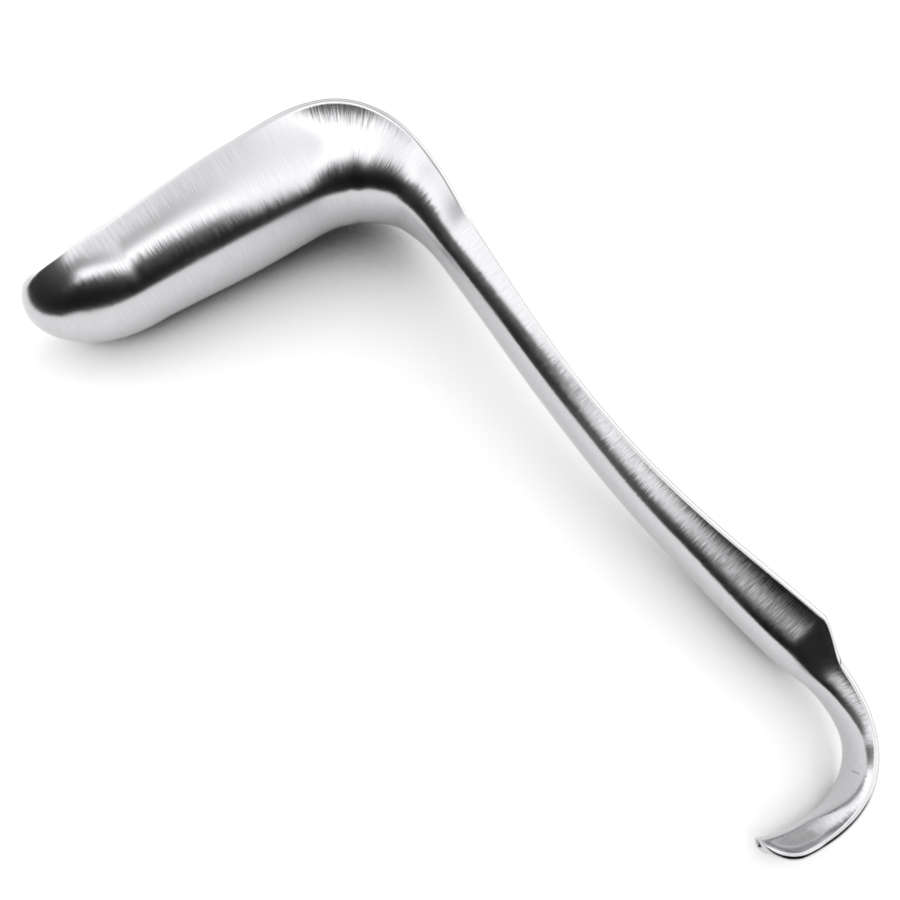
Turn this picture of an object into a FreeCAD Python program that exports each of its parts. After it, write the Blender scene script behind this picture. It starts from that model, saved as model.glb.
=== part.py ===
import FreeCAD, Part
import math
import os

os.makedirs("parts", exist_ok=True)

# All sizes are in millimetres and all angles in degrees.
# A station is a pair: a distance along the spine and the value there.

# Sheet and its rounded edge
sheet_thickness = 2.0
edge_bulge = 0.7

# Where the shoulder stands on the spine, and where the hook ends
shoulder_at = 283.0
spine_length = 358.0

# Direction of the spine, first from the blade's tip, then past the shoulder
blade_course = [(0, 46.0), (12, 76.0), (25, 89.5), (78, 88.5)]
heel_course = [(90, 75.0), (100, 57.0), (110, 34.0), (120, 15.5), (132, 2.0)]
handle_course = [(150, -5.5), (170, -5.5), (205, 0.0), (270, 11.5)]
shoulder_course = 10.0
hook_course = [(12, -2.0), (24, -20.0), (36, -48.0), (49, -75.0), (61, -95.0)]
hook_end_course = -116.0

# Half width of the trough
blade_half_widths = [(30, 19.8), (65, 23.8), (95, 24.7)]
heel_half_widths = [(112, 22.4), (130, 17.0)]
handle_half_widths = [(150, 11.3), (200, 11.4)]
shoulder_half_width = 14.4
hook_half_widths = [(12, 9.0), (29, 8.6), (45, 9.2), (61, 6.8)]

# Depth of the trough's floor below the spine
blade_depths = [(30, 18.4), (65, 20.2), (95, 20.4)]
heel_depths = [(112, 19.1), (130, 13.2)]
handle_depths = [(150, 10.1), (202, 7.5), (247, 9.0)]
shoulder_depth = 11.3
hook_depths = [(18, 8.7), (39, 6.0), (60, 7.3)]

# Drop of the rim below the spine, which starts at the shoulder
rim_drops = [(12, 3.1), (60, 2.7)]

# Lean of the side walls away from upright
blade_leans = [(15, 0.0), (60, 24.0), (95, 44.0)]
heel_leans = [(112, 41.0), (124, 37.0), (134, 32.0)]
handle_leans = [(150, 25.0), (200, 36.0)]
shoulder_lean = 47.0
hook_leans = [(28, 42.0), (57, 60.0)]

# Lengths over which the two ends close
tip_width_closing = 29.0
tip_depth_closing = 28.0
hook_closing = 9.0

# Pull of the section's curve towards the wall and along the floor
wall_pull = 0.55
blade_floor_pull = 0.64
hook_floor_pull = 0.57

# Spacing of the surfaces' rows
row_spacing = 6.0
tip_rows = 7
hook_rows = 4
half_section_steps = 8
edge_steps = 6


def past_shoulder(stations):
    """Stations on the hook, measured from the shoulder, put on the spine."""
    return [(shoulder_at + distance, value) for distance, value in stations]


def slope_at(stations, index):
    """Slope of a curve through stations that never swings past them."""
    last = len(stations) - 1
    left = max(index - 1, 0)
    right = min(index, last - 1)
    run_a = stations[left + 1][0] - stations[left][0]
    run_b = stations[right + 1][0] - stations[right][0]
    slope_a = (stations[left + 1][1] - stations[left][1]) / run_a
    slope_b = (stations[right + 1][1] - stations[right][1]) / run_b
    if slope_a * slope_b <= 0:
        return 0.0
    share_a = run_a + 2 * run_b
    share_b = run_b + 2 * run_a
    return (share_a + share_b) / (share_a / slope_a + share_b / slope_b)


def value_at(stations, distance):
    """Smooth value between stations, and constant beyond the outer two."""
    distance = min(max(distance, stations[0][0]), stations[-1][0])
    index = 0
    while index < len(stations) - 2 and distance > stations[index + 1][0]:
        index += 1
    start, low = stations[index]
    stop, high = stations[index + 1]
    run = stop - start
    part = (distance - start) / run
    rest = 1 - part
    low_slope = run * slope_at(stations, index)
    high_slope = run * slope_at(stations, index + 1)
    value = low * (1 + 2 * part) * rest ** 2 + high * part ** 2 * (1 + 2 * rest)
    return value + low_slope * part * rest ** 2 - high_slope * rest * part ** 2


def closing(distance, length):
    """Quarter ellipse that grows from nothing at an end of the trough."""
    part = min(max(distance / length, 0.0), 1.0)
    return math.sqrt(max(1 - (1 - part) ** 2, 0.0))


# Stations of every profile from end to end
shoulder_station = (shoulder_at, shoulder_course)
course = blade_course + heel_course + handle_course + [shoulder_station]
course += past_shoulder(hook_course) + [(spine_length, hook_end_course)]
trough_widths = blade_half_widths + heel_half_widths + handle_half_widths
trough_widths += [(shoulder_at, shoulder_half_width)]
hook_widths = [(shoulder_at, shoulder_half_width)] + past_shoulder(hook_half_widths)
depths = blade_depths + heel_depths + handle_depths
depths += [(shoulder_at, shoulder_depth)] + past_shoulder(hook_depths)
drops = [(shoulder_at, 0.0)] + past_shoulder(rim_drops)
leans = blade_leans + heel_leans + handle_leans
leans += [(shoulder_at, shoulder_lean)] + past_shoulder(hook_leans)


def spine_points(distances):
    """Points and directions of the spine, added up in short straight steps."""
    frames = []
    place = FreeCAD.Vector(0, 0, 0)
    reached = 0.0
    for distance in distances:
        steps = max(1, math.ceil((distance - reached) / 0.5))
        step = (distance - reached) / steps
        for number in range(steps):
            angle = math.radians(value_at(course, reached + (number + 0.5) * step))
            place = place + FreeCAD.Vector(math.cos(angle), math.sin(angle), 0) * step
        reached = distance
        angle = math.radians(value_at(course, distance))
        along = FreeCAD.Vector(math.cos(angle), math.sin(angle), 0)
        opening = FreeCAD.Vector(-math.sin(angle), math.cos(angle), 0)
        frames.append((distance, place, along, opening))
    return frames


def row_distances():
    """Distances of the rows: close together at both ends, then evenly spaced."""
    tip_run = row_spacing * tip_rows / 2
    tip = [tip_run * (row / tip_rows) ** 2 for row in range(tip_rows)]
    even = max(4, round((shoulder_at - tip_run) / row_spacing))
    gap = (shoulder_at - tip_run) / even
    trough = tip + [tip_run + gap * row for row in range(even + 1)]
    hook_run = spine_length - shoulder_at
    end_run = min(row_spacing * hook_rows / 2, hook_run / 2)
    even = max(3, round((hook_run - end_run) / row_spacing))
    gap = (hook_run - end_run) / even
    hook = [shoulder_at + gap * row for row in range(even)]
    closing_rows = range(hook_rows, -1, -1)
    hook += [spine_length - end_run * (row / hook_rows) ** 2 for row in closing_rows]
    return trough, hook


def section(distance):
    """Points across the trough's outer skin: sideways and towards the opening."""
    at_end = closing(spine_length - distance, hook_closing)
    widths = trough_widths if distance <= shoulder_at else hook_widths
    half = value_at(widths, distance) * closing(distance, tip_width_closing) * at_end
    deep = closing(distance, tip_depth_closing)
    floor = -value_at(depths, distance) * deep
    rim = floor - value_at(drops, distance) * deep * at_end ** 2
    rim += value_at(depths, distance) * deep * at_end ** 2
    lean = math.tan(math.radians(value_at(leans, distance)))
    wall = wall_pull * (rim - floor)
    share = distance / spine_length
    pull = blade_floor_pull + (hook_floor_pull - blade_floor_pull) * share
    corners = [(half, rim), (half - wall * lean, rim - wall)]
    corners += [(pull * half, floor), (0.0, floor)]
    side = []
    for step in range(half_section_steps + 1):
        t = step / half_section_steps
        shares = [(1 - t) ** 3, 3 * t * (1 - t) ** 2, 3 * t ** 2 * (1 - t), t ** 3]
        across = sum(part * corner[0] for part, corner in zip(shares, corners))
        height = sum(part * corner[1] for part, corner in zip(shares, corners))
        side.append((across, height))
    return side + [(-across, height) for across, height in reversed(side[:-1])]


def outer_rows(frames):
    """Rows of points on the outer skin, one row for each place on the spine."""
    rows = []
    for distance, place, along, opening in frames:
        row = []
        for across, height in section(distance):
            row.append(place + opening * height + FreeCAD.Vector(0, 0, across))
        rows.append(row)
    return rows


def curve_through(points):
    """Smooth curve that passes the points at whole-number parameters."""
    curve = Part.BSplineCurve()
    curve.interpolate(Points=points, Parameters=[float(n) for n in range(len(points))])
    return curve


def surface_through(rows):
    """Smooth surface through rows of points; a row may be one point repeated."""
    lines = []
    pattern = None
    for row in rows:
        if row[0].distanceToPoint(row[len(row) // 2]) > 1e-6:
            pattern = curve_through(row)
            lines.append(pattern.getPoles())
        else:
            lines.append(None)
    count = len(pattern.getPoles())
    lines = [line or [row[0]] * count for line, row in zip(lines, rows)]
    columns = [curve_through([line[n] for line in lines]) for n in range(count)]
    grid = [column.getPoles() for column in columns]
    poles = [[grid[n][m] for n in range(count)] for m in range(len(grid[0]))]
    surface = Part.BSplineSurface()
    surface.buildFromPolesMultsKnots(
        poles,
        columns[0].getMultiplicities(),
        pattern.getMultiplicities(),
        columns[0].getKnots(),
        pattern.getKnots(),
        False,
        False,
        3,
        3,
    )
    return surface


def unit(vector):
    """The same direction with a length of one."""
    return vector * (1 / vector.Length)


def row_normals(surface, row, frame, is_tip, is_end):
    """Directions that point out of the outer skin along one row."""
    distance, place, along, opening = frame
    across = 2 * half_section_steps + 1
    if is_tip:
        return [along * -1] * across
    if is_end:
        return [opening * -1] * across
    normals = [surface.normal(float(row), float(n)) for n in range(across)]
    middle = normals[half_section_steps]
    if middle.dot(opening) > 0:
        normals = [normal * -1 for normal in normals]
    return normals


def skin_normals(surfaces, frame_groups):
    """Outward directions for all rows; the shoulder's row takes the mean of two."""
    groups = []
    for number, (surface, frames) in enumerate(zip(surfaces, frame_groups)):
        last = len(frames) - 1
        group = []
        for row, frame in enumerate(frames):
            is_tip = number == 0 and row == 0
            is_end = number == 1 and row == last
            group.append(row_normals(surface, row, frame, is_tip, is_end))
        groups.append(group)
    shared = [unit(a + b) for a, b in zip(groups[0][-1], groups[1][0])]
    groups[0][-1] = shared
    groups[1][0] = shared
    return groups


def edge_directions(row_groups, normal_groups, column, sign):
    """Directions that point out of the sheet's edge, along one rim."""
    groups = []
    for rows, normals in zip(row_groups, normal_groups):
        rim = curve_through([row[column] for row in rows])
        group = []
        for number, row in enumerate(normals):
            tangent = rim.tangent(float(number))[0]
            group.append(unit(row[column].cross(tangent) * sign))
        groups.append(group)
    shared = unit(groups[0][-1] + groups[1][0])
    groups[0][-1] = shared
    groups[1][0] = shared
    distance, place, along, opening = spine[0]
    groups[0][0] = opening
    distance, place, along, opening = spine[-1]
    groups[1][-1] = along
    return groups


def edge_rows(rows, normals, directions, column):
    """Rows of points round the sheet's edge, from the outer to the inner skin."""
    result = []
    for row, normal, direction in zip(rows, normals, directions):
        middle = row[column] - normal[column] * (sheet_thickness / 2)
        turn = []
        for step in range(edge_steps + 1):
            angle = math.pi * step / edge_steps
            across = normal[column] * (sheet_thickness / 2 * math.cos(angle))
            turn.append(middle + across + direction * (edge_bulge * math.sin(angle)))
        result.append(turn)
    return result


def resting_plane(points, centre):
    """Upward direction of the plane that carries the points under a centre."""
    far = 10 * spine_length
    corners = []
    for angle in (90, 210, 330):
        x = centre.x + far * math.cos(math.radians(angle))
        y = centre.y + far * math.sin(math.radians(angle))
        corners.append(FreeCAD.Vector(x, y, far))
    while True:
        normal = unit((corners[1] - corners[0]).cross(corners[2] - corners[0]))
        lowest = min(points, key=lambda point: normal.dot(point - corners[0]))
        if normal.dot(lowest - corners[0]) > -1e-4:
            return normal
        for index in range(3):
            trial = corners[:index] + [lowest] + corners[index + 1:]
            if surrounds(trial, centre):
                corners = trial
                break


def lying_turn(points, centre):
    """Turn after which the points lie still, with their weight at the centre."""
    level = FreeCAD.Vector(0, 0, 1)
    turn = FreeCAD.Rotation()
    for roll in range(30):
        turned = [turn.multVec(point) for point in points]
        up = resting_plane(turned, turn.multVec(centre))
        turn = FreeCAD.Rotation(up, level).multiply(turn)
        if up.getAngle(level) < 1e-5:
            break
    return turn


def surrounds(corners, centre):
    """Whether a triangle holds the centre when both are seen from above."""
    for index in range(3):
        side = corners[(index + 1) % 3] - corners[index]
        reach = centre - corners[index]
        if side.x * reach.y - side.y * reach.x < 0:
            return False
    return True


# Outer skin in two lengths that meet at the shoulder
trough_distances, hook_distances = row_distances()
spine = spine_points(trough_distances + hook_distances[1:])
trough_count = len(trough_distances)
frame_groups = [spine[:trough_count], spine[trough_count - 1:]]
outer_groups = [outer_rows(frames) for frames in frame_groups]
hook_first = outer_groups[0][-1]
outer_groups[1][0] = hook_first
outer_skins = [surface_through(rows) for rows in outer_groups]

# Inner skin, one sheet thickness inside the outer skin
normal_groups = skin_normals(outer_skins, frame_groups)
inner_skins = []
for rows, normals in zip(outer_groups, normal_groups):
    inner = []
    for row, directions in zip(rows, normals):
        inner.append([p - n * sheet_thickness for p, n in zip(row, directions)])
    inner_skins.append(surface_through(inner))

# Rounded edge along both rims
edges = []
for column, sign in ((0, 1), (2 * half_section_steps, -1)):
    direction_groups = edge_directions(outer_groups, normal_groups, column, sign)
    for rows, normals, directions in zip(outer_groups, normal_groups, direction_groups):
        edges.append(surface_through(edge_rows(rows, normals, directions, column)))

# One closed solid
faces = [surface.toShape() for surface in outer_skins + inner_skins + edges]
skin = Part.Compound(faces)
skin.sewShape(1e-4)
retractor = Part.Solid(skin.Shells[0])
if retractor.Volume < 0:
    retractor.reverse()

# Laid down on the side it rests on, with the origin under the middle of its box
mesh_points = retractor.tessellate(0.1)[0]
turn = lying_turn(mesh_points, retractor.CenterOfMass)
laid = [turn.multVec(point) for point in mesh_points]
middle_x = (min(p.x for p in laid) + max(p.x for p in laid)) / 2
middle_y = (min(p.y for p in laid) + max(p.y for p in laid)) / 2
lowest = min(p.z for p in laid)
shift = FreeCAD.Vector(-middle_x, -middle_y, -lowest)
retractor.Placement = FreeCAD.Placement(shift, turn)
retractor.exportStep("parts/retractor.step")
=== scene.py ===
# %% [markdown]
# # A handheld steel retractor
# The retractor is one strip of stainless steel, pressed into a trough. The trough is deep and wide at
# the blade, turns almost square at the heel, narrows to a channel for the hand, widens at two pointed
# shoulders and ends in a small curled hook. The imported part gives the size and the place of
# everything here, so it is opened before anything is made.

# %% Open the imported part
import bpy
import bmesh
import math
from mathutils import Matrix, Vector
from mathutils.bvhtree import BVHTree


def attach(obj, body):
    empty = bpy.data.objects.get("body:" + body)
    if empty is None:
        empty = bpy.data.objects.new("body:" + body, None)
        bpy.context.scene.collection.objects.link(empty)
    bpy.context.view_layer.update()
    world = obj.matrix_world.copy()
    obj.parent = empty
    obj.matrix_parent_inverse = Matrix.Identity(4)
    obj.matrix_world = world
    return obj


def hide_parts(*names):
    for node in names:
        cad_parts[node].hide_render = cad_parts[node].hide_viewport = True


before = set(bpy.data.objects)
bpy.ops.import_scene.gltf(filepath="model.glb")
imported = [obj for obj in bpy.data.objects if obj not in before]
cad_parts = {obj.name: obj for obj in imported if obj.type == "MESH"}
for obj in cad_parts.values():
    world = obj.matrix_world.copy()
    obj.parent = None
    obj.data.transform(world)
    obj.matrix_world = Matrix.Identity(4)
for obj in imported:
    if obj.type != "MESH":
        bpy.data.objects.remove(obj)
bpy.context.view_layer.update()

MM = 0.001

# %% [markdown]
# Node trees for the mesh, the steel and the room are all built by one small function. It adds a node,
# gives it its settings, and then fills its sockets: a socket of another node becomes a link, and
# anything else becomes the socket's own value. The kinds of math node have long names, so the ones
# that are used most get a short name of their own.

# %% Add one node to a tree
NUMBER = "ShaderNodeMath"
VECTOR = "ShaderNodeVectorMath"
MIX = "ShaderNodeMix"
MAP_RANGE = "ShaderNodeMapRange"


def add(tree, kind, settings=None, sockets=None):
    """A new node with its settings, and with each socket linked or filled."""
    node = tree.nodes.new(kind)
    for name, value in (settings or {}).items():
        setattr(node, name, value)
    for socket, value in (sockets or {}).items():
        if isinstance(value, bpy.types.NodeSocket):
            tree.links.new(value, node.inputs[socket])
        else:
            node.inputs[socket].default_value = value
    return node


def linear(code, alpha=1.0):
    """An sRGB hex colour turned into the linear numbers that Blender works in."""
    parts = [int(code[place:place + 2], 16) / 255 for place in (1, 3, 5)]
    return [p / 12.92 if p <= 0.04045 else ((p + 0.055) / 1.055) ** 2.4 for p in parts] + [alpha]


print("a middle gray, #808080, is", round(linear("#808080")[0], 3), "of white")

# %% [markdown]
# The sheet follows a rule: an imaginary spine runs from the blade's tip to the hook's end, and at
# every distance along it the trough has a half width, a depth and side walls with some lean. A few
# stations give each of these, as pairs of a distance and a value. All of them are in millimetres and
# degrees, as a maker would measure them on the real thing. COURSE is the direction that the spine
# takes, and RIM_DROP says how far the hook's rim sinks below the shoulders.

# %% Write down the stations
SHOULDER = 283.0
LENGTH = 358.0
SHEET = 2.0

COURSE = [(0, 46), (12, 76), (25, 89.5), (78, 88.5), (90, 75), (100, 57), (110, 34), (120, 15.5),
          (132, 2), (150, -5.5), (170, -5.5), (205, 0), (270, 11.5), (SHOULDER, 10), (295, -2),
          (307, -20), (319, -48), (332, -75), (344, -95), (LENGTH, -116)]
TROUGH_HALF_WIDTH = [(30, 19.8), (65, 23.8), (95, 24.7), (112, 22.4), (130, 17), (150, 11.3),
                     (200, 11.4), (SHOULDER, 14.4)]
HOOK_HALF_WIDTH = [(SHOULDER, 14.4), (295, 9), (312, 8.6), (328, 9.2), (344, 6.8)]
DEPTH = [(30, 18.4), (65, 20.2), (95, 20.4), (112, 19.1), (130, 13.2), (150, 10.1), (202, 7.5),
         (247, 9), (SHOULDER, 11.3), (301, 8.7), (322, 6), (343, 7.3)]
RIM_DROP = [(SHOULDER, 0), (295, 3.1), (343, 2.7)]
LEAN = [(15, 0), (60, 24), (95, 44), (112, 41), (124, 37), (134, 32), (150, 25), (200, 36),
        (SHOULDER, 47), (311, 42), (340, 60)]
print("strip", LENGTH, "mm long, shoulders at", SHOULDER, "mm, sheet", SHEET, "mm")

# %% [markdown]
# Between the stations runs a smooth curve that never swings past them. It is a cubic whose slope at a
# station is zero where the values turn back, and otherwise a mean of the slopes on both sides that
# keeps closer to the flatter one. At the tip and at the hook's end a quarter ellipse closes the trough.

# %% Measure the trough between its stations
HEEL = 95


def slope_at(stations, index):
    """Slope of a curve through stations that never swings past them."""
    last = len(stations) - 1
    left = max(index - 1, 0)
    right = min(index, last - 1)
    run_a = stations[left + 1][0] - stations[left][0]
    run_b = stations[right + 1][0] - stations[right][0]
    slope_a = (stations[left + 1][1] - stations[left][1]) / run_a
    slope_b = (stations[right + 1][1] - stations[right][1]) / run_b
    if slope_a * slope_b <= 0:
        return 0.0
    share_a = run_a + 2 * run_b
    share_b = run_b + 2 * run_a
    return (share_a + share_b) / (share_a / slope_a + share_b / slope_b)


def value_at(stations, distance):
    """Smooth value between stations, and constant beyond the outer two."""
    distance = min(max(distance, stations[0][0]), stations[-1][0])
    index = 0
    while index < len(stations) - 2 and distance > stations[index + 1][0]:
        index += 1
    start, low = stations[index]
    stop, high = stations[index + 1]
    run = stop - start
    part = (distance - start) / run
    rest = 1 - part
    value = low * (1 + 2 * part) * rest ** 2 + high * part ** 2 * (1 + 2 * rest)
    value += run * slope_at(stations, index) * part * rest ** 2
    return value - run * slope_at(stations, index + 1) * rest * part ** 2


def closing(distance, length):
    """Quarter ellipse that grows from nothing at an end of the trough."""
    part = min(max(distance / length, 0.0), 1.0)
    return math.sqrt(max(1 - (1 - part) ** 2, 0.0))


print("blade", round(2 * value_at(TROUGH_HALF_WIDTH, HEEL), 1), "mm wide and",
      value_at(DEPTH, HEEL), "mm deep at the heel")

# %% [markdown]
# Like a boat, the trough is drawn with ribs: one Bezier spline across it at each distance, from rim
# to floor to rim. The ribs stand 1 mm apart, and closer at the two ends, where the sheet closes. The
# spine is followed in short steps, each in the direction that COURSE gives halfway along it.

# %% Place the ribs along the spine
RIB_GAP = 1.0
END_RIBS = 14
SPINE_STEP = 0.5
ALMOST_NOTHING = 1e-8


def rib_distances():
    """Distances of the ribs, with one of them exactly at the shoulder."""
    run = RIB_GAP * END_RIBS / 2
    tip = [run * (rib / END_RIBS) ** 2 for rib in range(END_RIBS)]
    tip[0] = ALMOST_NOTHING
    trough_ribs = round((SHOULDER - run) / RIB_GAP)
    gap = (SHOULDER - run) / trough_ribs
    trough = [run + gap * rib for rib in range(trough_ribs)]
    hook_run = LENGTH - SHOULDER - run
    hook_ribs = round(hook_run / RIB_GAP)
    hook = [SHOULDER + hook_run * rib / hook_ribs for rib in range(hook_ribs)]
    end = [LENGTH - run * (rib / END_RIBS) ** 2 for rib in range(END_RIBS, 0, -1)]
    return tip + trough + hook + end + [LENGTH - ALMOST_NOTHING]


def spine_places(distances):
    """At each distance, the spine's place and the direction from the floor to the opening."""
    place = Vector((0, 0, 0))
    reached = 0.0
    places = []
    for distance in distances:
        steps = max(1, math.ceil((distance - reached) / SPINE_STEP))
        step = (distance - reached) / steps
        for number in range(steps):
            angle = math.radians(value_at(COURSE, reached + (number + 0.5) * step))
            place = place + Vector((math.cos(angle), math.sin(angle), 0)) * step
        reached = distance
        angle = math.radians(value_at(COURSE, distance))
        places.append((place, Vector((-math.sin(angle), math.cos(angle), 0))))
    return places


distances = rib_distances()
places = spine_places(distances)
print(len(distances), "ribs, the last one", round(places[-1][0].length), "mm from the first")

# %% [markdown]
# A rib has three points, and the handles of these points carry the wall's lean and the roundness of
# the floor. The pulls are the handles' lengths, as shares of the depth and of the half width: a small
# pull makes a round blade, and a large one makes a flat floor and straight walls. Half of a rib is
# worked out here, and the other half is its mirror image. The rim's rounding comes on later and
# stands proud of the rib, so the rib stops short of the rim by that much.

# %% Shape one rib
TIP_WIDTH_CLOSING = 29.0
TIP_DEPTH_CLOSING = 28.0
HOOK_CLOSING = 9.0
BLADE_WALL_PULL = 0.45
HOOK_WALL_PULL = 0.55
BLADE_FLOOR_PULL = 0.56
HOOK_FLOOR_PULL = 0.57
RIM_ROUNDING = 0.45
RIM_LARGEST_SHARE = 0.2


def rib_corners(distance):
    """Rim, wall, belly and floor of a rib: sideways and towards the opening."""
    at_end = closing(LENGTH - distance, HOOK_CLOSING)
    widths = TROUGH_HALF_WIDTH if distance <= SHOULDER else HOOK_HALF_WIDTH
    half = value_at(widths, distance) * closing(distance, TIP_WIDTH_CLOSING) * at_end
    deep = closing(distance, TIP_DEPTH_CLOSING)
    depth = value_at(DEPTH, distance)
    floor = -depth * deep
    rim = floor + (depth - value_at(RIM_DROP, distance)) * deep * at_end ** 2
    lean = math.radians(value_at(LEAN, distance))
    share = distance / LENGTH
    wall = (BLADE_WALL_PULL + (HOOK_WALL_PULL - BLADE_WALL_PULL) * share) * (rim - floor)
    pull = BLADE_FLOOR_PULL + (HOOK_FLOOR_PULL - BLADE_FLOOR_PULL) * share
    trim = min(RIM_ROUNDING, RIM_LARGEST_SHARE * half, RIM_LARGEST_SHARE * (rim - floor))
    corners = [(half - trim * math.sin(lean), rim - trim * math.cos(lean))]
    corners += [(half - wall * math.tan(lean), rim - wall), (pull * half, floor), (0.0, floor)]
    return corners


print("rib at the heel:", [(round(a, 1), round(b, 1)) for a, b in rib_corners(HEEL)])

# %% [markdown]
# The retractor rests on the blade's rim, one shoulder and the hook, so its middle plane leans a
# little. The direction that is up once it lies down tilts every rib at once. A curve point has no
# spare number to say how far along the strip it is, and the brushing needs that later, so it is kept
# as the point's radius.

# %% Draw the ribs
UP_WHEN_LYING = Vector((-0.0834, 0.1110, 0.9903)).normalized()
LYING = UP_WHEN_LYING.rotation_difference(Vector((0, 0, 1))).to_matrix()
START = Vector((-115.30, -57.97, 17.47))
RIB_SMOOTHNESS = 24


def lie_down(place, opening, corner, side):
    """Where a rib's corner ends up, on one side of the strip, once the retractor lies down."""
    flat = place + opening * corner[1] + Vector((0, 0, side * corner[0]))
    return (LYING @ flat + START) * MM


def draw_ribs():
    """One curve object that holds every rib."""
    curve = bpy.data.curves.new("ribs", "CURVE")
    curve.dimensions = "3D"
    curve.resolution_u = RIB_SMOOTHNESS
    for distance, (place, opening) in zip(distances, places):
        rim, wall, belly, floor = rib_corners(distance)
        # Each point: its corner, the handle before it and the one after it, and their sides
        points = [(rim, rim, wall, 1, 1, 1), (floor, belly, belly, 1, 1, -1), (rim, wall, rim, -1, -1, -1)]
        spline = curve.splines.new("BEZIER")
        spline.bezier_points.add(len(points) - 1)
        for point, (at, before, after, side, side_before, side_after) in zip(spline.bezier_points, points):
            point.handle_left_type = "FREE"
            point.handle_right_type = "FREE"
            point.co = lie_down(place, opening, at, side)
            point.handle_left = lie_down(place, opening, before, side_before)
            point.handle_right = lie_down(place, opening, after, side_after)
            point.radius = distance
    ribs = bpy.data.objects.new("ribs", curve)
    bpy.context.scene.collection.objects.link(ribs)
    return ribs


ribs = draw_ribs()
print(len(ribs.data.splines), "splines in", ribs.name)

# %% [markdown]
# Geometry Nodes turn the ribs into the sheet, because a main piece that follows a rule is best made
# by the rule. The tree gets a named input for each thing that it needs from outside, so that the same
# tree could lay a thicker sheet over other ribs.

# %% Start the tree that makes the sheet
INTEGER = "FunctionNodeIntegerMath"
STORE = "GeometryNodeStoreNamedAttribute"
READ = "GeometryNodeInputNamedAttribute"
SHEET_INPUTS = [("Geometry", "Geometry"), ("Ribs", "Object"), ("Rib count", "Int"), ("Columns", "Int"),
                ("Sheet thickness", "Float"), ("Rim rounding", "Float"), ("Material", "Material")]


def start_sheet_tree():
    """A tree with its inputs and its output, but with nothing in between."""
    tree = bpy.data.node_groups.new("sheet over ribs", "GeometryNodeTree")
    for name, kind in SHEET_INPUTS:
        tree.interface.new_socket(name, in_out="INPUT", socket_type="NodeSocket" + kind)
    tree.interface.new_socket("Geometry", in_out="OUTPUT", socket_type="NodeSocketGeometry")
    return tree, add(tree, "NodeGroupInput").outputs


tree, entry = start_sheet_tree()
print(tree.name, "takes", [name for name, kind in SHEET_INPUTS])

# %% [markdown]
# A flat grid is laid over the ribs, point by point. The points are counted rib by rib within a
# column, so the remainder of a point's number is its rib and the quotient is its column. Each point
# also stores how far along the strip and across it lies. These two numbers become the UV map that
# the brushing follows, and they are stored first because a point's number means something else on
# the corners of faces, where a UV map is kept. Both ends of the strip close to a point, so the
# points that fall together there are merged.

# %% Lay a grid on the ribs
NOMINAL_WIDTH = 60.0
GRID_MERGE = 0.012


def lay_grid(tree, entry):
    """The outer skin, and its points' distances along and across the strip."""
    grid = add(tree, "GeometryNodeMeshGrid", {}, {"Vertices X": entry["Columns"],
               "Vertices Y": entry["Rib count"]})
    index = add(tree, "GeometryNodeInputIndex").outputs[0]
    rib = add(tree, INTEGER, {"operation": "MODULO"}, {0: index, 1: entry["Rib count"]}).outputs[0]
    column = add(tree, INTEGER, {"operation": "DIVIDE"}, {0: index, 1: entry["Rib count"]}).outputs[0]
    last = add(tree, INTEGER, {"operation": "SUBTRACT"}, {0: entry["Columns"], 1: 1}).outputs[0]
    part = add(tree, NUMBER, {"operation": "DIVIDE"}, {0: column, 1: last}).outputs[0]
    curves = add(tree, "GeometryNodeObjectInfo", {}, {"Object": entry["Ribs"]})
    radius = add(tree, "GeometryNodeInputRadius").outputs[0]
    sample = add(tree, "GeometryNodeSampleCurve", {"mode": "FACTOR"}, {"Curves": curves.outputs["Geometry"],
                 "Value": radius, "Factor": part, "Curve Index": rib})
    skin = add(tree, "GeometryNodeSetPosition", {}, {"Geometry": grid.outputs["Mesh"],
               "Position": sample.outputs["Position"]})
    along = add(tree, NUMBER, {"operation": "MULTIPLY"}, {0: sample.outputs["Value"], 1: MM}).outputs[0]
    across = add(tree, NUMBER, {"operation": "MULTIPLY"}, {0: part, 1: NOMINAL_WIDTH * MM}).outputs[0]
    skin = add(tree, STORE, {"data_type": "FLOAT", "domain": "POINT"}, {"Geometry": skin.outputs[0],
               "Name": "along", "Value": along})
    skin = add(tree, STORE, {"data_type": "FLOAT", "domain": "POINT"}, {"Geometry": skin.outputs[0],
               "Name": "across", "Value": across})
    along = add(tree, READ, {"data_type": "FLOAT"}, {"Name": "along"}).outputs[0]
    across = add(tree, READ, {"data_type": "FLOAT"}, {"Name": "across"}).outputs[0]
    pair = add(tree, "ShaderNodeCombineXYZ", {}, {0: along, 1: across}).outputs[0]
    skin = add(tree, STORE, {"data_type": "FLOAT2", "domain": "CORNER"}, {"Geometry": skin.outputs[0],
               "Name": "UVMap", "Value": pair})
    skin = add(tree, "GeometryNodeMergeByDistance", {}, {"Geometry": skin.outputs[0],
               "Distance": GRID_MERGE * MM})
    return skin.outputs[0], along, across


skin, along, across = lay_grid(tree, entry)
print(len(tree.nodes), "nodes so far")

# %% [markdown]
# The rim is rounded outwards, so every point on the open edge has to know which way is out. An open
# edge is one with a single face. From the middle of that face to the edge, square to the edge, is
# the way out. A point takes the mean of its edges, brought to length one. The skin's normals are
# stored as well, because they would change once the rim is drawn out.

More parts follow.
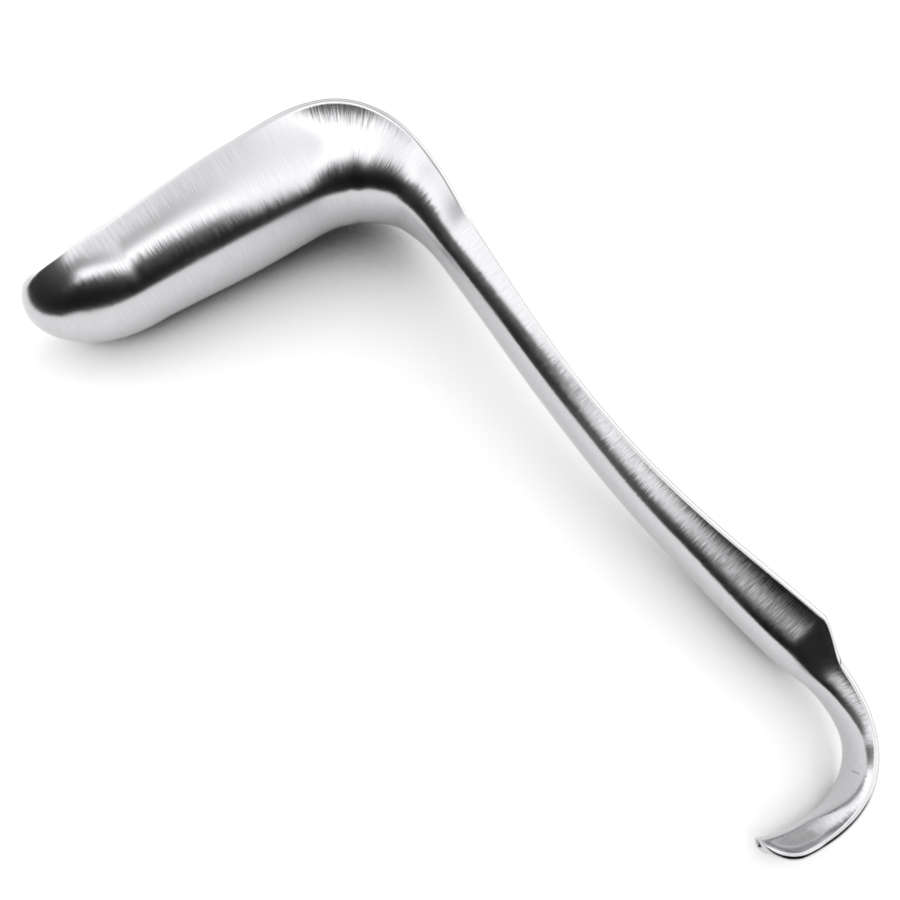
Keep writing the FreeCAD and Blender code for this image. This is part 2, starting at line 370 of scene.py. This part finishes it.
# %% Find the way out of the open edge
def find_way_out(tree, skin):
    """The skin with its two directions stored, the open edges, and both directions."""
    sides = add(tree, "GeometryNodeInputMeshEdgeNeighbors").outputs[0]
    is_open = add(tree, "FunctionNodeCompare", {"data_type": "INT", "operation": "EQUAL"},
                  {2: sides, 3: 1}).outputs[0]
    position = add(tree, "GeometryNodeInputPosition").outputs[0]
    middle = add(tree, "GeometryNodeFieldOnDomain", {"data_type": "FLOAT_VECTOR", "domain": "FACE"},
                 {0: position}).outputs[0]
    ends = add(tree, "GeometryNodeInputMeshEdgeVertices")
    edge = add(tree, VECTOR, {"operation": "SUBTRACT"}, {0: ends.outputs["Position 2"],
               1: ends.outputs["Position 1"]}).outputs[0]
    edge = add(tree, VECTOR, {"operation": "NORMALIZE"}, {0: edge}).outputs[0]
    reach = add(tree, VECTOR, {"operation": "SUBTRACT"}, {0: ends.outputs["Position 1"],
                1: middle}).outputs[0]
    slip = add(tree, VECTOR, {"operation": "PROJECT"}, {0: reach, 1: edge}).outputs[0]
    outward = add(tree, VECTOR, {"operation": "SUBTRACT"}, {0: reach, 1: slip}).outputs[0]
    outward = add(tree, VECTOR, {"operation": "NORMALIZE"}, {0: outward}).outputs[0]
    outward = add(tree, VECTOR, {"operation": "SCALE"}, {0: outward, "Scale": is_open}).outputs[0]
    skin = add(tree, STORE, {"data_type": "FLOAT_VECTOR", "domain": "EDGE"}, {"Geometry": skin,
               "Name": "outward", "Value": outward}).outputs[0]
    at_edge = add(tree, READ, {"data_type": "FLOAT_VECTOR"}, {"Name": "outward"}).outputs[0]
    at_point = add(tree, VECTOR, {"operation": "NORMALIZE"}, {0: at_edge}).outputs[0]
    skin = add(tree, STORE, {"data_type": "FLOAT_VECTOR", "domain": "POINT"}, {"Geometry": skin,
               "Name": "rim direction", "Value": at_point}).outputs[0]
    normal = add(tree, "GeometryNodeInputNormal").outputs[0]
    skin = add(tree, STORE, {"data_type": "FLOAT_VECTOR", "domain": "POINT"}, {"Geometry": skin,
               "Name": "skin normal", "Value": normal}).outputs[0]
    skin_normal = add(tree, READ, {"data_type": "FLOAT_VECTOR"}, {"Name": "skin normal"}).outputs[0]
    rim_direction = add(tree, READ, {"data_type": "FLOAT_VECTOR"}, {"Name": "rim direction"}).outputs[0]
    return skin, is_open, skin_normal, rim_direction


skin, is_open, skin_normal, rim_direction = find_way_out(tree, skin)
print(len(tree.nodes), "nodes so far")

# %% [markdown]
# The inner skin is a copy of the outer one, pushed inwards by the sheet's thickness and turned over.
# The rim between them is drawn out of the open edge in rings that first all lie on the edge. Each
# ring then moves along half an oval, from the outer skin to the inner one, so that the last ring
# meets the inner skin.

# %% Copy the skin inwards and round the rim
RIM_RINGS = 8
RING_STEP = 0.4


def copy_inwards(tree, entry, skin, skin_normal):
    """The inner skin."""
    back = add(tree, NUMBER, {"operation": "MULTIPLY"}, {0: entry["Sheet thickness"], 1: -1.0}).outputs[0]
    inwards = add(tree, VECTOR, {"operation": "SCALE"}, {0: skin_normal, "Scale": back}).outputs[0]
    inner = add(tree, "GeometryNodeSetPosition", {}, {"Geometry": skin, "Offset": inwards})
    return add(tree, "GeometryNodeFlipFaces", {}, {"Mesh": inner.outputs[0]}).outputs[0]


def draw_rings(tree, skin, chosen):
    """The skin with all rings still on its open edge, and each point's ring."""
    for ring in range(1, RIM_RINGS + 1):
        drawn = add(tree, "GeometryNodeExtrudeMesh", {"mode": "EDGES"}, {"Mesh": skin,
                    "Selection": chosen, "Offset Scale": 0.0})
        skin = add(tree, STORE, {"data_type": "INT", "domain": "POINT"}, {"Geometry": drawn.outputs["Mesh"],
                   "Selection": drawn.outputs["Top"], "Name": "ring", "Value": ring}).outputs[0]
        chosen = drawn.outputs["Top"]
    return skin, add(tree, READ, {"data_type": "INT"}, {"Name": "ring"}).outputs[0]


def round_rim(tree, entry, skin, ring, skin_normal, rim_direction, along, across):
    """The skin with its rings moved round the rim, and their UV map carried on."""
    on_rim = add(tree, "FunctionNodeCompare", {"data_type": "INT", "operation": "GREATER_THAN"},
                 {2: ring, 3: 0}).outputs[0]
    angle = add(tree, NUMBER, {"operation": "MULTIPLY"}, {0: ring, 1: math.pi / RIM_RINGS}).outputs[0]
    cosine = add(tree, NUMBER, {"operation": "COSINE"}, {0: angle}).outputs[0]
    sine = add(tree, NUMBER, {"operation": "SINE"}, {0: angle}).outputs[0]
    half = add(tree, NUMBER, {"operation": "MULTIPLY"}, {0: entry["Sheet thickness"], 1: 0.5}).outputs[0]
    sunk = add(tree, NUMBER, {"operation": "SUBTRACT"}, {0: cosine, 1: 1.0}).outputs[0]
    sunk = add(tree, NUMBER, {"operation": "MULTIPLY"}, {0: sunk, 1: half}).outputs[0]
    proud = add(tree, NUMBER, {"operation": "MULTIPLY"}, {0: sine, 1: entry["Rim rounding"]}).outputs[0]
    down = add(tree, VECTOR, {"operation": "SCALE"}, {0: skin_normal, "Scale": sunk}).outputs[0]
    out = add(tree, VECTOR, {"operation": "SCALE"}, {0: rim_direction, "Scale": proud}).outputs[0]
    shift = add(tree, VECTOR, {"operation": "ADD"}, {0: down, 1: out}).outputs[0]
    outer = add(tree, "GeometryNodeSetPosition", {}, {"Geometry": skin, "Selection": on_rim,
                "Offset": shift})
    far = add(tree, NUMBER, {"operation": "MULTIPLY"}, {0: ring, 1: RING_STEP * MM}).outputs[0]
    far = add(tree, NUMBER, {"operation": "ADD"}, {0: across, 1: far}).outputs[0]
    pair = add(tree, "ShaderNodeCombineXYZ", {}, {0: along, 1: far}).outputs[0]
    return add(tree, STORE, {"data_type": "FLOAT2", "domain": "CORNER"}, {"Geometry": outer.outputs[0],
               "Selection": on_rim, "Name": "UVMap", "Value": pair}).outputs[0]


inner = copy_inwards(tree, entry, skin, skin_normal)
skin, ring = draw_rings(tree, skin, is_open)
outer = round_rim(tree, entry, skin, ring, skin_normal, rim_direction, along, across)
print(RIM_RINGS, "rings round the rim,", len(tree.nodes), "nodes so far")

# %% [markdown]
# Both skins are joined, and the seam where the last ring meets the inner skin is merged, so that the
# sheet is closed. The tree ends in Realize Instances and Set Material, which leave a plain mesh with
# its own material.

# %% Close the sheet
SEAM_MERGE = 0.004


def close_sheet(tree, entry, inner, outer):
    """The last nodes of the tree: one closed, smooth mesh in its material."""
    joined = add(tree, "GeometryNodeJoinGeometry")
    tree.links.new(inner, joined.inputs[0])
    tree.links.new(outer, joined.inputs[0])
    closed = add(tree, "GeometryNodeMergeByDistance", {}, {"Geometry": joined.outputs[0],
                 "Distance": SEAM_MERGE * MM})
    smooth = add(tree, "GeometryNodeSetShadeSmooth", {}, {"Geometry": closed.outputs[0]})
    real = add(tree, "GeometryNodeRealizeInstances", {}, {"Geometry": smooth.outputs[0]})
    dressed = add(tree, "GeometryNodeSetMaterial", {}, {"Geometry": real.outputs[0],
                  "Material": entry["Material"]})
    add(tree, "NodeGroupOutput", {}, {0: dressed.outputs[0]})


close_sheet(tree, entry, inner, outer)
print(len(tree.nodes), "nodes in", tree.name)

# %% [markdown]
# ## Brushed stainless steel
# Surgical steel is a chromium steel, light gray with hardly any tint. A belt has brushed this one
# across its length, so it throws soft streaks along the handle but keeps sharp edges across it. It
# also has two short scratches, a dark one at the shoulder and a pale one in the hook. They could be
# cut into the mesh, but they are far finer than its faces, so the material draws them. A scratch is
# a straight line on the UV map, and a point's distance to that line says how deep it lies in it.

# %% Draw a scratch
SCRATCH_WIDTH = 0.35
SCRATCHES = [
    # start and end, in millimetres along and across the strip, and colour
    ((289.0, 4.6), (293.5, 0.5), "#303032"),
    ((323.0, 20.0), (323.5, 11.0), "#909092"),
]


def scratch(tree, surface, start, stop):
    """How deep a straight scratch is at a point of the surface, from 0 to 1."""
    run = (Vector(stop) - Vector(start)) * MM
    local = add(tree, VECTOR, {"operation": "SUBTRACT"}, {0: surface,
                1: (start[0] * MM, start[1] * MM, 0)}).outputs[0]
    unit = (run.x / run.length_squared, run.y / run.length_squared, 0)
    part = add(tree, VECTOR, {"operation": "DOT_PRODUCT"}, {0: local, 1: unit}).outputs["Value"]
    part = add(tree, "ShaderNodeClamp", {}, {"Value": part}).outputs[0]
    foot = add(tree, VECTOR, {"operation": "SCALE"}, {0: (run.x, run.y, 0), "Scale": part}).outputs[0]
    away = add(tree, VECTOR, {"operation": "DISTANCE"}, {0: local, 1: foot}).outputs["Value"]
    return add(tree, MAP_RANGE, {}, {"Value": away, "From Min": SCRATCH_WIDTH * MM, "From Max": 0.0,
               "To Min": 0.0, "To Max": 1.0}).outputs[0]


print(len(SCRATCHES), "scratches, each", SCRATCH_WIDTH, "mm to each side")

# %% [markdown]
# The shader is a metal whose highlight is stretched along the spine. A fine noise, squeezed along the
# spine and drawn out across it, stands for the brush lines in colour, roughness and bump. It also
# tilts each line a little to one side or the other, which frays the borders of what the steel
# mirrors. A real line is about 0.1 mm wide. The lines are drawn 0.14 mm wide and 7 mm long, a little
# coarser, so that a few of them still show. A second noise, a few centimetres wide, makes the finish
# uneven, as use and cleaning do.

# %% Make the steel
BRUSH_LINE = 0.14
BRUSH_REACH = 7.0
BRUSH_TILT = 0.03
BRUSH_COLORS = ("#A8A8AA", "#DADADC")
BRUSH_ROUGHNESS = (0.17, 0.22)
BRUSH_BUMP = 0.01
BUMP_STRENGTH = 0.06
WEAR_SIZE = (14.0, 30.0)
WEAR_ROUGHNESS = (-0.02, 0.03)
NOISE_SPAN = (0.3, 0.7)
STRETCH = 0.6


def brushed_stainless_steel():
    """Chromium steel brushed across its length: a metal with stretched highlights."""
    material = bpy.data.materials.new("brushed stainless steel")
    material.use_nodes = True
    tree = material.node_tree
    tree.nodes.clear()
    surface = add(tree, "ShaderNodeUVMap", {"uv_map": "UVMap"}).outputs[0]
    tangent = add(tree, "ShaderNodeTangent", {"direction_type": "UV_MAP", "uv_map": "UVMap"}).outputs[0]
    lines = add(tree, "ShaderNodeMapping", {}, {"Vector": surface,
                "Scale": (1 / (BRUSH_LINE * MM), 1 / (BRUSH_REACH * MM), 1)}).outputs[0]
    brush = add(tree, "ShaderNodeTexNoise", {}, {"Vector": lines, "Scale": 1.0, "Detail": 2.0,
                "Roughness": 0.6}).outputs[0]
    clouds = add(tree, "ShaderNodeMapping", {}, {"Vector": surface,
                 "Scale": (1 / (WEAR_SIZE[0] * MM), 1 / (WEAR_SIZE[1] * MM), 1)}).outputs[0]
    wear = add(tree, "ShaderNodeTexNoise", {}, {"Vector": clouds, "Scale": 1.0, "Detail": 3.0,
               "Roughness": 0.5}).outputs[0]
    color = add(tree, MIX, {"data_type": "RGBA"}, {0: brush, 6: linear(BRUSH_COLORS[0]),
                7: linear(BRUSH_COLORS[1])}).outputs[2]
    for start, stop, tint in SCRATCHES:
        depth = scratch(tree, surface, start, stop)
        color = add(tree, MIX, {"data_type": "RGBA"}, {0: depth, 6: color, 7: linear(tint)}).outputs[2]

    # Carry both noises over to the roughness, and the brush lines to the tilt
    span = {"From Min": NOISE_SPAN[0], "From Max": NOISE_SPAN[1]}
    rough = add(tree, MAP_RANGE, {}, {"Value": brush, **span, "To Min": BRUSH_ROUGHNESS[0],
                "To Max": BRUSH_ROUGHNESS[1]}).outputs[0]
    worn = add(tree, MAP_RANGE, {}, {"Value": wear, **span, "To Min": WEAR_ROUGHNESS[0],
               "To Max": WEAR_ROUGHNESS[1]}).outputs[0]
    rough = add(tree, NUMBER, {"operation": "ADD"}, {0: rough, 1: worn}).outputs[0]
    tilt = add(tree, MAP_RANGE, {}, {"Value": brush, **span, "To Min": -BRUSH_TILT,
               "To Max": BRUSH_TILT}).outputs[0]
    normal = add(tree, "ShaderNodeNewGeometry").outputs["Normal"]
    lean = add(tree, VECTOR, {"operation": "CROSS_PRODUCT"}, {0: normal, 1: tangent}).outputs[0]
    lean = add(tree, VECTOR, {"operation": "SCALE"}, {0: lean, "Scale": tilt}).outputs[0]
    normal = add(tree, VECTOR, {"operation": "ADD"}, {0: normal, 1: lean}).outputs[0]
    normal = add(tree, VECTOR, {"operation": "NORMALIZE"}, {0: normal}).outputs[0]
    bump = add(tree, "ShaderNodeBump", {}, {"Strength": BUMP_STRENGTH, "Distance": BRUSH_BUMP * MM,
               "Height": brush, "Normal": normal}).outputs[0]
    steel = add(tree, "ShaderNodeBsdfPrincipled", {}, {"Base Color": color, "Metallic": 1.0,
                "Roughness": rough, "Anisotropic": STRETCH, "Tangent": tangent, "Normal": bump})
    add(tree, "ShaderNodeOutputMaterial", {}, {"Surface": steel.outputs[0]})
    return material


steel = brushed_stainless_steel()
print(steel.name, "with", len(steel.node_tree.nodes), "nodes")

# %% [markdown]
# The tree runs on an empty mesh, and its result is kept as a plain mesh. The count of open edges and
# the sign of the volume say whether the sheet is closed and faces outwards, and the distance to the
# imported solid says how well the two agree.

# %% Make the retractor
COLUMNS = 65


def make_sheet():
    """The finished retractor as one plain mesh."""
    carrier = bpy.data.objects.new("carrier", bpy.data.meshes.new("carrier"))
    bpy.context.scene.collection.objects.link(carrier)
    modifier = carrier.modifiers.new("sheet", "NODES")
    modifier.node_group = tree
    values = {"Ribs": ribs, "Rib count": len(distances), "Columns": COLUMNS, "Sheet thickness": SHEET * MM,
              "Rim rounding": RIM_ROUNDING * MM, "Material": steel}
    for item in tree.interface.items_tree:
        if item.in_out == "INPUT" and item.name in values:
            modifier[item.identifier] = values[item.name]
    graph = bpy.context.evaluated_depsgraph_get()
    mesh = bpy.data.meshes.new_from_object(carrier.evaluated_get(graph), depsgraph=graph)
    carrier.modifiers.remove(modifier)
    bpy.data.objects.remove(carrier)
    piece = bpy.data.objects.new("steel_retractor", mesh)
    bpy.context.scene.collection.objects.link(piece)
    return piece


def report_mesh(piece, node):
    """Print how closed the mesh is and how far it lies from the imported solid."""
    check = bmesh.new()
    check.from_mesh(piece.data)
    open_edges = sum(1 for edge in check.edges if len(edge.link_faces) != 2)
    volume = check.calc_volume(signed=True) / MM ** 3
    triangles = sum(len(face.verts) - 2 for face in check.faces)
    solid = bmesh.new()
    solid.from_mesh(node.data)
    surface = BVHTree.FromBMesh(solid)
    gaps = sorted(surface.find_nearest(vert.co)[3] / MM for vert in check.verts)
    print("open edges", open_edges, "triangles", triangles, "volume mm3", round(volume),
          "gap to the solid: middle", round(gaps[len(gaps) // 2], 3), "largest", round(gaps[-1], 3))
    check.free()
    solid.free()


retractor = make_sheet()
bpy.data.objects.remove(ribs)
report_mesh(retractor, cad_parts["retractor"])
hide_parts("retractor")
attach(retractor, "root")

# %% [markdown]
# ## The table
# A sheet of white card. It ends a hand's width below the picture, so the steel mirrors the dark room
# beyond it, which gives the retractor its long black line. The photograph was brightened and its
# contrast raised, which left white paper and a nearly black shadow under the heel. So a shadow is
# painted into the card's colour: it darkens where little of the sky reaches it, within 50 mm of
# the steel.
#
# The table, the flag and the room are laid out along the picture's own directions, as they lie in the
# retractor's middle plane, and the viewer's direction is square to that plane.

# %% Lay the table
PICTURE_RIGHT = Vector((0.5752, 0.8168, 0.0431))
PICTURE_UP = Vector((-0.8137, 0.5661, 0.1320))
TOWARDS_VIEWER = Vector((0.0834, -0.1110, 0.9903))
TABLE_RIGHT = Vector((PICTURE_RIGHT.x, PICTURE_RIGHT.y, 0)).normalized()
TABLE_UP = Vector((-TABLE_RIGHT.y, TABLE_RIGHT.x, 0))
TABLE_MIDDLE = Vector((-0.012, 0.012, 0))
TABLE_CORNERS = [(-0.6, -0.20), (0.6, -0.20), (0.6, 0.6), (-0.6, 0.6)]
# The card's own white, and the near-black of the shadow that is painted into its colour.
CARD_AND_PAINTED_SHADOW_COLORS = ("#121212", "#F4F4F4")
SKY_REACH = 50.0
SKY_SPAN = (0.15, 0.40)
SKY_SAMPLES = 12


def card_with_painted_shadow():
    """Uncoated card with no gloss: white, with a painted shadow that turns it near-black where little sky
    reaches it.
    """
    material = bpy.data.materials.new("white card with painted shadow")
    material.use_nodes = True
    tree = material.node_tree
    tree.nodes.clear()
    # Painted shadow: where the steel hides the sky, the card's colour is mixed towards near-black.
    sky = add(tree, "ShaderNodeAmbientOcclusion", {"samples": SKY_SAMPLES},
              {"Distance": SKY_REACH * MM}).outputs["AO"]
    sky = add(tree, MAP_RANGE, {"interpolation_type": "SMOOTHSTEP"}, {"Value": sky,
              "From Min": SKY_SPAN[0], "From Max": SKY_SPAN[1]}).outputs[0]
    color = add(tree, MIX, {"data_type": "RGBA"}, {0: sky, 6: linear(CARD_AND_PAINTED_SHADOW_COLORS[0]),
                7: linear(CARD_AND_PAINTED_SHADOW_COLORS[1])}).outputs[2]
    card = add(tree, "ShaderNodeBsdfDiffuse", {}, {"Color": color})
    add(tree, "ShaderNodeOutputMaterial", {}, {"Surface": card.outputs[0]})
    return material


def flat_sheet(name, corners, material):
    """A flat sheet with four corners."""
    mesh = bpy.data.meshes.new(name)
    mesh.from_pydata(corners, [], [(0, 1, 2, 3)])
    mesh.materials.append(material)
    sheet = bpy.data.objects.new(name, mesh)
    bpy.context.scene.collection.objects.link(sheet)
    return sheet


table = flat_sheet("table", [TABLE_MIDDLE + TABLE_RIGHT * a + TABLE_UP * b for a, b in TABLE_CORNERS],
                   card_with_painted_shadow())
print("table", [round(v, 2) for v in table.dimensions])

# %% [markdown]
# A photographer stands a small black card beside a shiny thing to give it a dark side. Such a flag
# stands here close to the tip of the blade, outside the picture. The tip mirrors it and turns dark,
# while the handle is too far away to see more than its top, which is paler. Only mirrored light meets
# the flag: the camera looks straight through it, and it throws no shadow on the table.

# %% Stand the black flag
FLAG_FOOT = (-0.186, 0.014)
FLAG_WIDTH = 0.16
FLAG_HEIGHT = 0.15
FLAG_LIFT = 0.001
FLAG_FACING = math.radians(33)
FLAG_COLORS = ("#181818", "#585858")
FLAG_DARK_SHARE = 0.4


def black_card():
    """Matt black card, paler towards its top, that the camera doesn't see."""
    material = bpy.data.materials.new("black card")
    material.use_nodes = True
    tree = material.node_tree
    tree.nodes.clear()
    place = add(tree, "ShaderNodeTexCoord").outputs["Object"]
    height = add(tree, "ShaderNodeSeparateXYZ", {}, {0: place}).outputs["Z"]
    share = add(tree, MAP_RANGE, {}, {"Value": height, "From Min": FLAG_DARK_SHARE * FLAG_HEIGHT,
                "From Max": FLAG_HEIGHT}).outputs[0]
    color = add(tree, MIX, {"data_type": "RGBA"}, {0: share, 6: linear(FLAG_COLORS[0]),
                7: linear(FLAG_COLORS[1])}).outputs[2]
    black = add(tree, "ShaderNodeBsdfDiffuse", {}, {"Color": color})
    clear = add(tree, "ShaderNodeBsdfTransparent")
    seen = add(tree, "ShaderNodeLightPath").outputs["Is Camera Ray"]
    mixed = add(tree, "ShaderNodeMixShader", {}, {0: seen, 1: black.outputs[0], 2: clear.outputs[0]})
    add(tree, "ShaderNodeOutputMaterial", {}, {"Surface": mixed.outputs[0]})
    return material


def flag_corners():
    """Corners of a card on edge, turned towards the tip of the blade."""
    foot = TABLE_RIGHT * FLAG_FOOT[0] + TABLE_UP * FLAG_FOOT[1]
    side = TABLE_UP * math.cos(FLAG_FACING) - TABLE_RIGHT * math.sin(FLAG_FACING)
    spots = [(-0.5, FLAG_LIFT), (0.5, FLAG_LIFT), (0.5, FLAG_HEIGHT), (-0.5, FLAG_HEIGHT)]
    return [foot + side * FLAG_WIDTH * part + Vector((0, 0, height)) for part, height in spots]


flag = flat_sheet("flag", flag_corners(), black_card())
flag.visible_shadow = False
flag.visible_diffuse = False
print("flag", [round(v, 3) for v in flag.dimensions])

# %% [markdown]
# ## The room
# A round metal shows little but its surroundings, so the room matters as much as the steel. The room
# is a world shader. It turns each direction into a flat map, like a map of the sky: the viewer's
# direction is its middle, and every other direction lies as many degrees away from it as on the
# dome. It then lays soft patches on this map, as a studio would hang softboxes and black cloth, and a
# later patch lies over the ones before it. A squareness of 2 would make the patches ovals, and 3
# makes them oblong with round corners. The camera itself sees plain white.

# %% Hang the lights and the black cloth
PATCHES = [
    # radiance, middle, half sizes, softness, turn; sizes and turn are in degrees on the map
    (2.60, (-74, 36), (14, 16), 0.40, 0),    # window on the left, mirrored in the flank of the hook
    (0.14, (-83, -50), (36, 42), 0.20, 39),  # dark corner on the left, below the window
    (0.60, (5, 76), (55, 28), 0.50, 5),      # gray wall beyond the head of the table
    (0.00, (77, -64), (28, 32), 0.25, 0),    # black cloth on the right
    (1.30, (3, -6), (32, 18), 0.40, 0),      # white ceiling in the camera's half shade
    (0.55, (-12, -22), (27, 8), 0.60, -14),  # the camera itself
    (2.40, (-6, -36), (34, 6), 0.50, -2),    # strip light between the camera and the black cloth
    (0.00, (-10, -76), (74, 36), 0.13, 0),   # black cloth at the foot of the table
    (2.40, (50, 38), (20, 22), 0.30, 0),     # softbox on the right, which lights the table
]
ROOM_RADIANCE = 1.75
SQUARENESS = 3


def place_on_map(tree):
    """Where a direction lies on the flat map, in degrees from the viewer's direction."""
    direction = add(tree, "ShaderNodeTexCoord").outputs["Generated"]
    right = add(tree, VECTOR, {"operation": "DOT_PRODUCT"}, {0: direction, 1: PICTURE_RIGHT}).outputs["Value"]
    up = add(tree, VECTOR, {"operation": "DOT_PRODUCT"}, {0: direction, 1: PICTURE_UP}).outputs["Value"]
    high = add(tree, VECTOR, {"operation": "DOT_PRODUCT"}, {0: direction, 1: TOWARDS_VIEWER}).outputs["Value"]
    angle = add(tree, NUMBER, {"operation": "ARCCOSINE"}, {0: high}).outputs[0]
    angle = add(tree, NUMBER, {"operation": "DEGREES"}, {0: angle}).outputs[0]
    flat = add(tree, "ShaderNodeCombineXYZ", {}, {0: right, 1: up}).outputs[0]
    flat = add(tree, VECTOR, {"operation": "NORMALIZE"}, {0: flat}).outputs[0]
    return add(tree, VECTOR, {"operation": "SCALE"}, {0: flat, "Scale": angle}).outputs[0]


def lay_patch(tree, place, level, patch):
    """The room's radiance with one more soft, rounded patch laid over it."""
    radiance, middle, sizes, softness, turn = patch
    local = add(tree, VECTOR, {"operation": "SUBTRACT"}, {0: place, 1: (*middle, 0)}).outputs[0]
    local = add(tree, "ShaderNodeVectorRotate", {"rotation_type": "Z_AXIS"}, {"Vector": local,
                "Angle": math.radians(-turn)}).outputs[0]
    local = add(tree, VECTOR, {"operation": "DIVIDE"}, {0: local, 1: (*sizes, 1)}).outputs[0]
    local = add(tree, VECTOR, {"operation": "ABSOLUTE"}, {0: local}).outputs[0]
    local = add(tree, VECTOR, {"operation": "POWER"}, {0: local, 1: (SQUARENESS,) * 3}).outputs[0]
    reach = add(tree, VECTOR, {"operation": "DOT_PRODUCT"}, {0: local, 1: (1, 1, 0)}).outputs["Value"]
    reach = add(tree, NUMBER, {"operation": "POWER"}, {0: reach, 1: 1 / SQUARENESS}).outputs[0]
    share = add(tree, MAP_RANGE, {"interpolation_type": "SMOOTHSTEP"}, {"Value": reach,
                "From Min": 1 + softness, "From Max": 1 - softness}).outputs[0]
    return add(tree, MIX, {"data_type": "FLOAT"}, {0: share, 2: level, 3: radiance}).outputs[0]


def light_room():
    """World whose patches light the table and stand mirrored in the steel."""
    world = bpy.data.worlds.new("studio")
    bpy.context.scene.world = world
    world.use_nodes = True
    tree = world.node_tree
    tree.nodes.clear()
    place = place_on_map(tree)
    level = ROOM_RADIANCE
    for patch in PATCHES:
        level = lay_patch(tree, place, level, patch)
    seen = add(tree, "ShaderNodeLightPath").outputs["Is Camera Ray"]
    level = add(tree, MIX, {"data_type": "FLOAT"}, {0: seen, 2: level, 3: 1.0}).outputs[0]
    room = add(tree, "ShaderNodeBackground", {}, {"Color": linear("#FFFFFF"), "Strength": level})
    add(tree, "ShaderNodeOutputWorld", {}, {"Surface": room.outputs[0]})
    return world


world = light_room()
print(len(PATCHES), "patches in", world.name)

# %% [markdown]
# ## The camera
# The photograph looks down on the retractor from about 25 cm away, so near parts look clearly larger
# than far ones. The camera stands at that distance. Its place and the directions to the picture's
# right and up it were found from the retractor's outline.

# %% Set the camera
CAMERA_PLACE = Vector((66.3, -53.0, 236.6)) * MM
CAMERA_RIGHT = Vector((0.57371, 0.81814, 0.03876))
CAMERA_UP = Vector((-0.75315, 0.50836, 0.41753))
FOCAL_LENGTH = 37.08
SENSOR_WIDTH = 36
NEAREST = 0.01


def set_camera():
    """Camera at the photograph's place, with the photograph's field of view."""
    data = bpy.data.cameras.new("camera")
    data.lens = FOCAL_LENGTH
    data.sensor_width = SENSOR_WIDTH
    data.clip_start = NEAREST
    camera = bpy.data.objects.new("camera", data)
    bpy.context.scene.collection.objects.link(camera)
    back = CAMERA_RIGHT.cross(CAMERA_UP).normalized()
    turn = Matrix((CAMERA_RIGHT, CAMERA_UP, back)).transposed().to_4x4()
    camera.matrix_world = Matrix.Translation(CAMERA_PLACE) @ turn
    bpy.context.scene.camera = camera
    return camera


camera = set_camera()
bpy.context.scene.view_settings.view_transform = "Standard"
print("camera at", [round(v, 3) for v in camera.location])

# %% [markdown]
# The last cell brings the scene up to date.

# %% Bring the scene up to date
bpy.context.view_layer.update()
